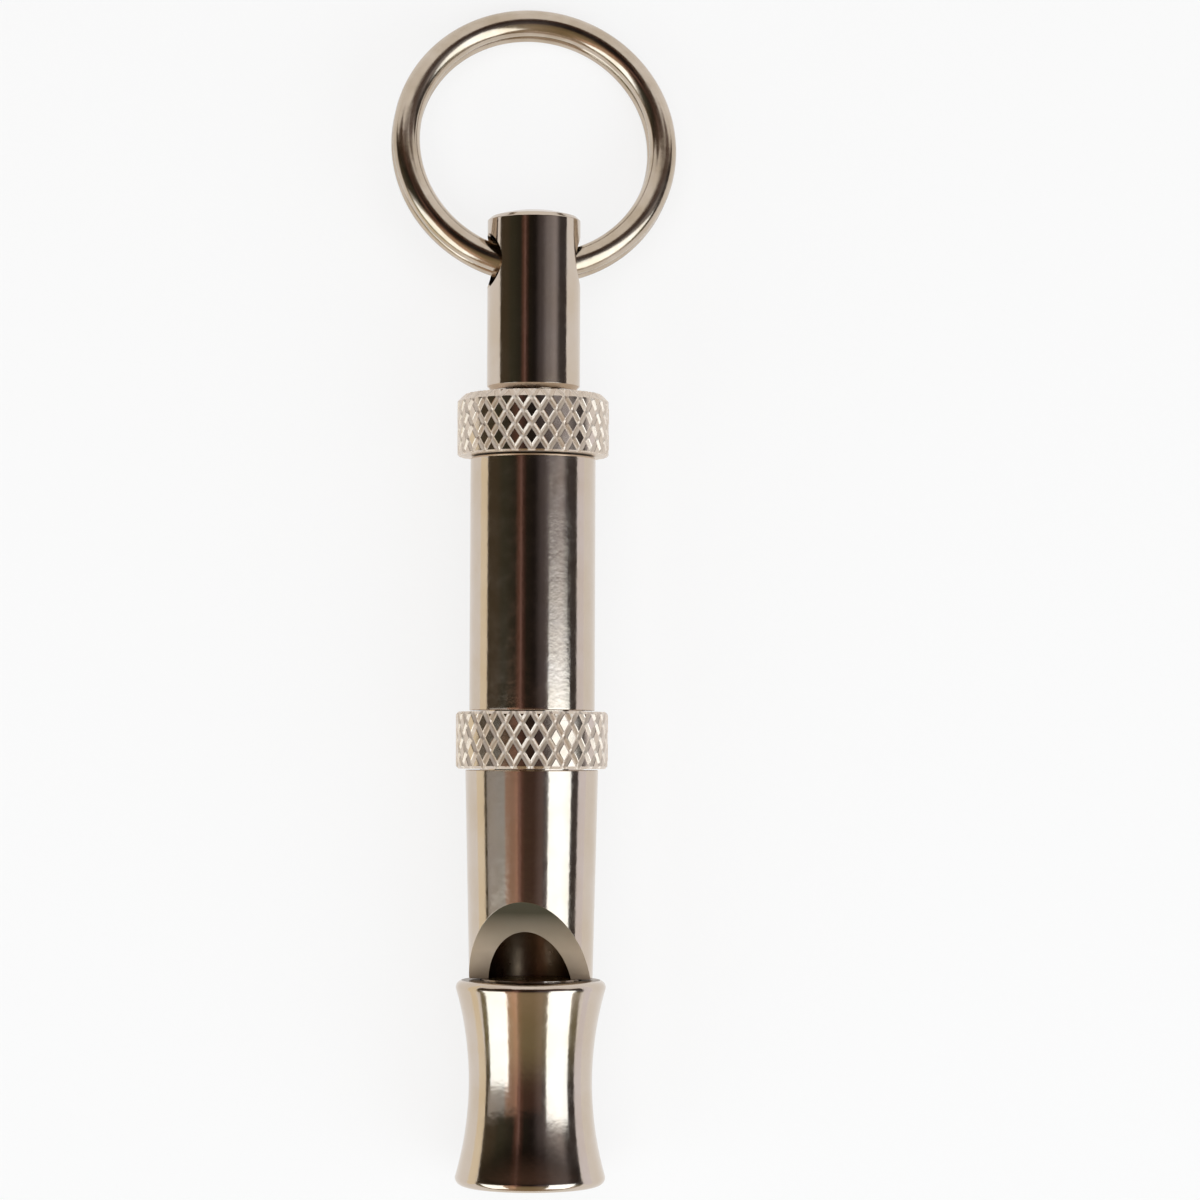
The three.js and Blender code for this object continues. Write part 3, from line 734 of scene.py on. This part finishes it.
# Tuning stem. The real piece is a plain brass rod, nickel plated, that turns the screw. Its upper
# end is domed and drilled across for the ring, and its foot is chamfered.
stem_foot, stem_top, stem_radius = reach_of("tuning_stem")
screw_seat = 2.6
seat_top = stem_foot + 4.2
foot_chamfer = 0.35
dome_edge = 0.3
dome_rise = 0.6
dome_steps = 14
dome_radius = stem_radius - dome_edge
dome_curve = (dome_radius ** 2 + dome_rise ** 2) / (2 * dome_rise)
dome_angle = math.asin(dome_radius / dome_curve)
dome = []
for step in range(1, dome_steps + 1):
    angle = dome_angle * (1 - step / dome_steps)
    dome.append((dome_curve * math.sin(angle), stem_top - dome_curve * (1 - math.cos(angle)), 0))
stem = turned("plated_stem", eased([
    (screw_seat, stem_foot, 0), (stem_radius - foot_chamfer, stem_foot, 0.08),
    (stem_radius, stem_foot + foot_chamfer, 0.08),
    (stem_radius, stem_top - dome_rise - dome_edge, 0.12),
    (dome_radius, stem_top - dome_rise, 0.12), *dome,
    (0, seat_top, 0), (screw_seat, seat_top, 0),
], lead=0.05))
joints = frame["record"]["behaviour"]["joints"]
ring_joint = next(joint for joint in joints if joint["name"] == "ring_swing")
eye_place = Vector(ring_joint["pos_m"])
drill = Vector(ring_joint["axis"]).normalized()
eye_radius = 2.2925 / 1000
bm = bmesh.new()
bmesh.ops.create_cone(
    bm, cap_ends=True, segments=96, radius1=eye_radius, radius2=eye_radius, depth=0.016,
    matrix=Matrix.Translation(eye_place) @ drill.to_track_quat('Z', 'Y').to_matrix().to_4x4(),
)
cut_away(stem, shown("eye_drill", bm))


def in_eye(face):
    """Whether a face belongs to the drilled eye."""
    middle = face.calc_center_median() - eye_place
    out = (middle - drill * middle.dot(drill)).length
    return out < eye_radius * 1.0005 and abs(face.normal.dot(drill)) < 0.01


break_edges(stem, in_eye, 0.12)
stem.data.materials.clear()
stem.data.materials.append(nickel)
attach(stem, "adjuster")
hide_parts("tuning_stem")

# Split ring. The real piece is one half-round spring-steel wire, nickel plated and wound two turns
# side by side with its round side up. It steps from one turn to the other inside the eye.
coil, given, result = rule_tree(
    "wound_ring", Vector=["Centre"], Float=[
        "Wire Radius", "Wire Width", "Crown", "Edge", "Coil Pitch", "Crossover", "Start", "Turn",
        "Tilt",
    ],
)
path = add_node(coil, 'GeometryNodeCurvePrimitiveLine').outputs[0]
path = add_node(coil, 'GeometryNodeResampleCurve', {"Curve": path, "Count": 321}).outputs[0]
share = add_node(coil, 'GeometryNodeSplineParameter').outputs["Factor"]
half_step = worked(coil, 'MULTIPLY', given["Crossover"], 0.5)
run = worked(coil, 'ADD', half_step, worked(
    coil, 'MULTIPLY', share, worked(coil, 'SUBTRACT', 4 * math.pi, given["Crossover"])))
step = ranged(
    coil, run, worked(coil, 'SUBTRACT', 2 * math.pi, half_step),
    worked(coil, 'ADD', 2 * math.pi, half_step), 0.5, -0.5, interpolation_type='SMOOTHSTEP',
)
turn = worked(coil, 'ADD', run, given["Start"])
path = moved(
    coil, path, worked(coil, 'MULTIPLY', given["Wire Radius"], worked(coil, 'COSINE', turn)),
    worked(coil, 'MULTIPLY', given["Wire Radius"], worked(coil, 'SINE', turn)),
    worked(coil, 'MULTIPLY', given["Coil Pitch"], step),
)
path = add_node(coil, 'GeometryNodeSetCurveNormal', {"Curve": path}, mode='Z_UP').outputs[0]
# The section: 18 points over the crown, then two at each broken edge of the flat side
half_width = worked(coil, 'MULTIPLY', given["Wire Width"], 0.5)
squares = worked(coil, 'ADD', worked(coil, 'POWER', half_width, 2.0),
                 worked(coil, 'POWER', given["Crown"], 2.0))
crown_curve = worked(coil, 'DIVIDE', squares, worked(coil, 'MULTIPLY', given["Crown"], 2.0))
crown_angle = worked(coil, 'ARCSINE', worked(coil, 'DIVIDE', half_width, crown_curve))
point = add_node(coil, 'GeometryNodeInputIndex').outputs[0]
lean = worked(coil, 'MULTIPLY', crown_angle, ranged(coil, point, 0.0, 17.0, -1.0, 1.0))
inner = worked(coil, 'SUBTRACT', half_width, given["Edge"])
across = worked(coil, 'MULTIPLY', crown_curve, worked(coil, 'SINE', lean))
middle = worked(coil, 'MULTIPLY', worked(coil, 'SUBTRACT', given["Crown"], given["Edge"]), 0.5)
foot = worked(coil, 'SUBTRACT', worked(coil, 'SUBTRACT', given["Crown"], crown_curve), middle)
rise = worked(
    coil, 'ADD', foot, worked(coil, 'MULTIPLY', crown_curve, worked(coil, 'COSINE', lean)))


def edged(shape, low, size, width):
    """The section's shape with a shift of some widths between two of its points."""
    shift = ranged(coil, point, low, low + 1.0, 0.0, size)
    return worked(coil, 'ADD', shape, worked(coil, 'MULTIPLY', width, shift))


for low, size in ((17.0, -0.3), (18.0, -0.7), (20.0, -0.7)):
    across = edged(across, low, size, given["Edge"])
across = edged(across, 19.0, -2.0, inner)
for low, size in ((17.0, -0.7), (18.0, -0.3), (20.0, 0.3)):
    rise = edged(rise, low, size, given["Edge"])
section = add_node(coil, 'GeometryNodeCurvePrimitiveCircle', {"Resolution": 22}).outputs[0]
section = moved(coil, section, across, worked(coil, 'MULTIPLY', rise, -1.0), 0.0)
wire = add_node(coil, 'GeometryNodeCurveToMesh', {
    "Curve": path, "Profile Curve": section, "Fill Caps": True,
}).outputs[0]
wire = add_node(coil, 'GeometryNodeTransform', {
    "Geometry": wire, "Rotation": joined(coil, 0.0, given["Turn"], 0.0),
}).outputs[0]
wire = add_node(coil, 'GeometryNodeTransform', {
    "Geometry": wire, "Translation": given["Centre"],
    "Rotation": joined(coil, given["Tilt"], 0.0, 0.0),
}).outputs[0]
finished(coil, wire, given["Plate"], result)
ring_plate = plated(
    "ring_nickel", tone=(0.60, 0.51, 0.42, 1), tarnish=(0.47, 0.38, 0.28, 1),
    polish=0.12, haze=0.22, grain=0.003,
)
ring_tilt = math.radians(-11.895)
eye_to_centre = Vector((0, 0.010493, 0))
ring = grown("wound_ring", coil, {
    "Wire Radius": 0.01085, "Wire Width": 0.0023, "Crown": 0.00102, "Edge": 0.00016,
    "Coil Pitch": 0.00123, "Crossover": math.radians(26), "Start": math.radians(268),
    "Turn": math.radians(8), "Tilt": ring_tilt,
    "Centre": eye_place + Matrix.Rotation(ring_tilt, 3, 'X') @ eye_to_centre, "Plate": ring_plate,
})
bm = bmesh.new()
bm.from_mesh(ring.data)
bmesh.ops.recalc_face_normals(bm, faces=bm.faces[:])
bm.to_mesh(ring.data)
bm.free()
ring.data.shade_smooth()
ring.data.set_sharp_from_angle(angle=math.radians(50))
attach(ring, "split_ring")
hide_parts("split_ring")

# Studio. A wide pale table in a dim warm room, with a large soft box on either side that reaches
# from beside the whistle towards the viewer. A pale screen behind the ring and a card on either
# side are there for the metal to mirror, and a light above is for the table.


def mirrored_only(piece):
    """Keep a piece of the stage out of the view and off the table."""
    piece.visible_camera = False
    piece.visible_diffuse = False
    piece.visible_shadow = False


def bare_finish(name):
    """A material with an empty tree, and the tree."""
    material = bpy.data.materials.new(name)
    material.use_nodes = True
    material.node_tree.nodes.clear()
    return material, material.node_tree


bm = bmesh.new()
just_under = Matrix.Translation((0, 0, -0.00002))
bmesh.ops.create_grid(bm, x_segments=1, y_segments=1, size=6.0, matrix=just_under)
table = shown("pale_table", bm)
bm = bmesh.new()
screen_place = 0.48
screen_edge = [(-0.9, 0), (0.9, 0), (0.9, 0.36), (0.42, 0.40), (0.30, 0.62),
               (-0.30, 0.62), (-0.42, 0.40), (-0.9, 0.36)]
bm.faces.new([bm.verts.new((across, screen_place, height)) for across, height in screen_edge])
screen = shown("pale_screen", bm)
mirrored_only(screen)
table_finish, tree = bare_finish("pale_table")
rays = add_node(tree, 'ShaderNodeLightPath').outputs
seen = worked(tree, 'MAXIMUM', rays["Is Camera Ray"],
              worked(tree, 'MAXIMUM', rays["Is Glossy Ray"], rays["Is Transmission Ray"]))
matt = add_node(tree, 'ShaderNodeBsdfDiffuse', {"Color": (0.92, 0.92, 0.92, 1)}).outputs[0]
white = add_node(tree, 'ShaderNodeEmission', {"Color": (1, 1, 1, 1), "Strength": 1.0}).outputs[0]
blend = add_node(tree, 'ShaderNodeMixShader', {
    0: worked(tree, 'MULTIPLY', seen, 0.76), 1: matt, 2: white,
}).outputs[0]
add_node(tree, 'ShaderNodeOutputMaterial', {"Surface": blend})
for stage_piece in (table, screen):
    stage_piece.data.materials.append(table_finish)
    stage_piece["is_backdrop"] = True
# The cards widen away from the whistle, warm on the left and cool on the right
card_edge = [(0.03, 0.016), (0.03, -0.06), (2.0, -0.40), (2.0, 0.20)]
warm, cool = (0.98, 0.91, 0.735, 1), (0.91, 0.91, 0.985, 1)
for name, side, tint in (("warm_card", -1, warm), ("cool_card", 1, cool)):
    bm = bmesh.new()
    bm.faces.new([bm.verts.new((side * across, place, 0)) for across, place in card_edge])
    card = shown(name, bm)
    mirrored_only(card)
    card_finish, tree = bare_finish(name)
    shine = add_node(tree, 'ShaderNodeEmission', {"Color": tint, "Strength": 1.0}).outputs[0]
    add_node(tree, 'ShaderNodeOutputMaterial', {"Surface": shine})
    card.data.materials.append(card_finish)
    card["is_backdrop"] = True

world = bpy.data.worlds.new("dim_room")
bpy.context.scene.world = world
world.use_nodes = True
tree = world.node_tree
tree.nodes.clear()
direction = apart(tree, add_node(tree, 'ShaderNodeTexCoord').outputs["Generated"])


def graded(value, stops):
    """A colour that changes with a direction's part, from -1 to 1, through the given stops."""
    node = add_node(tree, 'ShaderNodeValToRGB', {"Fac": ranged(tree, value, -1.0, 1.0, 0.0, 1.0)})
    ramp = node.color_ramp
    ramp.interpolation = 'EASE'
    ramp.elements.remove(ramp.elements[1])
    for number, (place, colour) in enumerate(stops):
        stop = ramp.elements[0] if number == 0 else ramp.elements.new((place + 1) / 2)
        stop.position = (place + 1) / 2
        stop.color = (*colour, 1)
    return node.outputs["Color"]


# The room by how far it lies to the right, dimmer behind the ring, with a warm glow at both ends
room = graded(direction["X"], [
    (-0.95, (0.07, 0.055, 0.035)), (-0.80, (0.045, 0.043, 0.028)), (-0.52, (0.030, 0.028, 0.020)),
    (-0.41, (0.12, 0.06, 0.045)), (-0.34, (0.23, 0.14, 0.125)), (-0.28, (0.07, 0.036, 0.028)),
    (-0.16, (0.020, 0.017, 0.013)), (0.06, (0.016, 0.013, 0.012)), (0.34, (0.09, 0.078, 0.083)),
    (0.62, (0.24, 0.225, 0.24)), (0.82, (0.33, 0.31, 0.33)), (0.94, (0.06, 0.052, 0.052)),
])
fade = graded(direction["Y"], [(-0.1, (1, 1, 1)), (0.15, (1, 1, 1)), (0.30, (0.30, 0.30, 0.30))])
glow = graded(direction["Y"], [
    (-1.0, (0.32, 0.24, 0.15)), (-0.7, (0.26, 0.21, 0.125)), (-0.35, (0.16, 0.15, 0.08)),
    (-0.06, (0, 0, 0)), (0.22, (0, 0, 0)), (0.46, (0.075, 0.044, 0.032)),
    (1.0, (0.075, 0.044, 0.032)),
])
dimmed = mixed(tree, 1.0, room, fade, blend_type='MULTIPLY')
filled = mixed(tree, 1.0, dimmed, glow, blend_type='ADD')
# Seen directly, the room is as pale as the far end of the table
looked_at = add_node(tree, 'ShaderNodeLightPath').outputs["Is Camera Ray"]
seen_room = mixed(tree, looked_at, filled, (0.77, 0.77, 0.77, 1))
backdrop = add_node(tree, 'ShaderNodeBackground', {"Color": seen_room, "Strength": 1.0}).outputs[0]
add_node(tree, 'ShaderNodeOutputWorld', {"Surface": backdrop})


def soft_box(name, lean, width, near, far, brightness, tint, distance=0.65):
    """A soft box that lies along the whistle, leaning from straight up by so many degrees."""
    lamp = bpy.data.lights.new(name, 'AREA')
    lamp.shape = 'RECTANGLE'
    lamp.size = width
    lamp.size_y = near - far
    lamp.energy = brightness * math.pi * width * (near - far)
    lamp.color = tint
    lean = math.radians(lean)
    holder = bpy.data.objects.new(name, lamp)
    holder.location = (distance * math.sin(lean), (near + far) / 2, distance * math.cos(lean))
    holder.rotation_euler = (0, lean, 0)
    holder.visible_camera = False
    bpy.context.scene.collection.objects.link(holder)
    return holder


daylight = (0.80, 0.91, 1.0)
soft_box("right_soft_box", 51.5, 0.51, 0.005, -0.90, 2.2, daylight)
soft_box("right_near", 49, 0.43, 0.034, 0.005, 0.65, daylight)
soft_box("left_soft_box", -59, 0.45, -0.105, -0.90, 2.2, daylight)
soft_box("left_edge", -64.5, 0.44, -0.025, -0.105, 0.36, (0.95, 0.97, 1.0))
# Two brown reflectors are mirrored by the metal and leave the table alone
for name, lean, width, brightness, tint in (
    ("brown_reflector", -34.2, 0.269, 0.34, (1.0, 0.62, 0.47)),
    ("brown_fill", 0, 0.52, 0.055, (1.0, 0.50, 0.36)),
):
    soft_box(name, lean, width, -0.020, -0.60, brightness, tint).visible_diffuse = False
table_light = soft_box("table_light", 0, 1.0, 0.5, -0.5, 1.55, (1.0, 1.0, 1.0), distance=0.9)
table_light.visible_glossy = False

# The camera looks down on the whistle, a little to its right and turned by a hair
camera = bpy.data.objects.new("camera", bpy.data.cameras.new("camera"))
camera.data.lens = 105
camera.data.sensor_width = 36
camera.data.clip_start = 0.01
camera.location = (0.0056, -0.0134, axis_height + 0.290)
aim = Vector((0.0056, -0.0010, axis_height)) - camera.location
roll = Euler((0, 0, math.radians(0.2))).to_quaternion()
camera.rotation_euler = (aim.to_track_quat('-Z', 'Y') @ roll).to_euler()
bpy.context.scene.collection.objects.link(camera)
bpy.context.scene.camera = camera
bpy.context.scene.view_settings.view_transform = 'Standard'

low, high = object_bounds()
